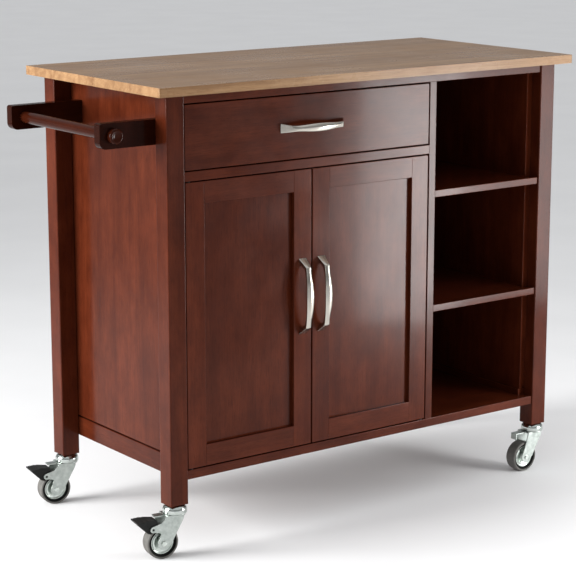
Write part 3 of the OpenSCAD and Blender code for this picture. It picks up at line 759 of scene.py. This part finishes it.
def towel_rod():
    """The turned rod with its round, slightly dished knob in front of the arm."""
    low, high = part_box("towel_rod")
    knob = (high.x - low.x) / 2
    middle = (low + high) / 2
    shaft = 11 * MM
    knob_l = 12 * MM
    length = high.y - low.y
    place = axis_matrix(Vector((middle.x, high.y, middle.z)), (0, -1, 0))
    mesh = bmesh.new()
    outline = [(0, 0), (shaft - 1.5 * MM, 0), (shaft, 1.5 * MM), (shaft, length - knob_l)]
    outline += [(knob - 1 * MM, length - knob_l), (knob, length - knob_l + 1 * MM)]
    outline += arc((knob - 3.5 * MM, length - 3.5 * MM), 3.5 * MM, 0, 90, 8)
    outline += [(knob - 5 * MM, length - 0.4 * MM), (knob - 7.5 * MM, length - 1.5 * MM)]
    outline += [(3 * MM, length - 2.2 * MM), (0, length - 2.3 * MM)]
    revolve(mesh, outline, place, 72)
    close_axis(mesh)
    rod = new_piece("towel_rod_turned", mesh, stained_wood("stained_rod", "y", 5, 0.45, 0.7))
    round_off(rod, 0.4 * MM)
    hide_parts("towel_rod")
    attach(rod, "towel_rod")


# ---------------------------------------------------------------- studio

FLOOR_SIDE = 60.0
WALL_GLOW = 0.2
CEILING_GLOW = 0.85
HORIZON_GLOW = 0.38        # added to the wall's glow in a band just over the horizon


def studio():
    """A plain pale floor, a soft overhead glow, and large soft lights."""
    s = Shader("pale_floor")
    speck = s.noise(s.place((3, 3, 3)), 1.0, 3.0, 0.5)
    s.colour(s.ramp(speck, "Fac", [(0.3, (0.86, 0.86, 0.86)), (0.7, (0.89, 0.89, 0.89))]))
    s.fix(roughness=0.75, specular=0.1)
    mesh = bmesh.new()
    bmesh.ops.create_grid(mesh, x_segments=1, y_segments=1, size=FLOOR_SIDE / 2)
    floor = new_piece("floor", mesh, s.material, smooth=False)

    world = bpy.data.worlds.new("surround")
    world.use_nodes = True
    tree = world.node_tree
    direction = tree.nodes.new("ShaderNodeTexCoord")
    parts = tree.nodes.new("ShaderNodeSeparateXYZ")
    height = tree.nodes.new("ShaderNodeMapRange")
    height.interpolation_type = "SMOOTHSTEP"
    height.inputs["From Min"].default_value = 0.1
    height.inputs["From Max"].default_value = 0.9
    height.inputs["To Min"].default_value = WALL_GLOW
    height.inputs["To Max"].default_value = CEILING_GLOW
    back = tree.nodes["Background"]
    back.inputs["Color"].default_value = (0.97, 0.98, 1.0, 1)
    tree.links.new(direction.outputs["Generated"], parts.inputs["Vector"])
    tree.links.new(parts.outputs["Z"], height.inputs["Value"])
    haze = tree.nodes.new("ShaderNodeMapRange")
    haze.interpolation_type = "SMOOTHSTEP"
    haze.inputs["From Min"].default_value = 0.06
    haze.inputs["From Max"].default_value = 0.16
    haze.inputs["To Min"].default_value = HORIZON_GLOW
    haze.inputs["To Max"].default_value = 0.0
    total = tree.nodes.new("ShaderNodeMath")
    total.operation = "ADD"
    tree.links.new(parts.outputs["Z"], haze.inputs["Value"])
    tree.links.new(height.outputs["Result"], total.inputs[0])
    tree.links.new(haze.outputs["Result"], total.inputs[1])
    tree.links.new(total.outputs["Value"], back.inputs["Strength"])
    bpy.context.scene.world = world
    bpy.context.scene.view_settings.view_transform = "Standard"

    lamp("left_key", (-3.2, 0.95, 1.3), (-0.4, 0.0, 0.5), (1.6, 1.8), 68, 100)
    lamp("right_strip", (1.06, -1.3, 0.38), (0.2, -0.2, 0.38), (0.27, 0.70), 8.0, 140)
    lamp("right_card", (1.45, -1.3, 0.40), (0.4, -0.2, 0.40), (0.6, 0.70), 7.6, 140)


def lamp(name, place, target, size, power, spread=180):
    """A rectangular light, which is never seen directly. spread is its beam in degrees."""
    data = bpy.data.lights.new(name, "AREA")
    data.shape = "RECTANGLE"
    data.size, data.size_y = size
    data.energy = power
    data.spread = math.radians(spread)
    light = bpy.data.objects.new(name, data)
    light.location = place
    light.visible_camera = False
    direction = Vector(target) - Vector(place)
    light.rotation_euler = direction.to_track_quat("-Z", "Y").to_euler()
    bpy.context.scene.collection.objects.link(light)


# ---------------------------------------------------------------- the build

make_camera()
boards()
dress_fittings()
pull("drawer_bow_pull", "drawer_pull", "drawer", "x")
pull("left_bow_pull", "door_left_pull", "door_left", "z")
pull("right_bow_pull", "door_right_pull", "door_right", "z")
for corner in CORNERS:
    wheel(corner)
caster_caps()
towel_rod()
studio()
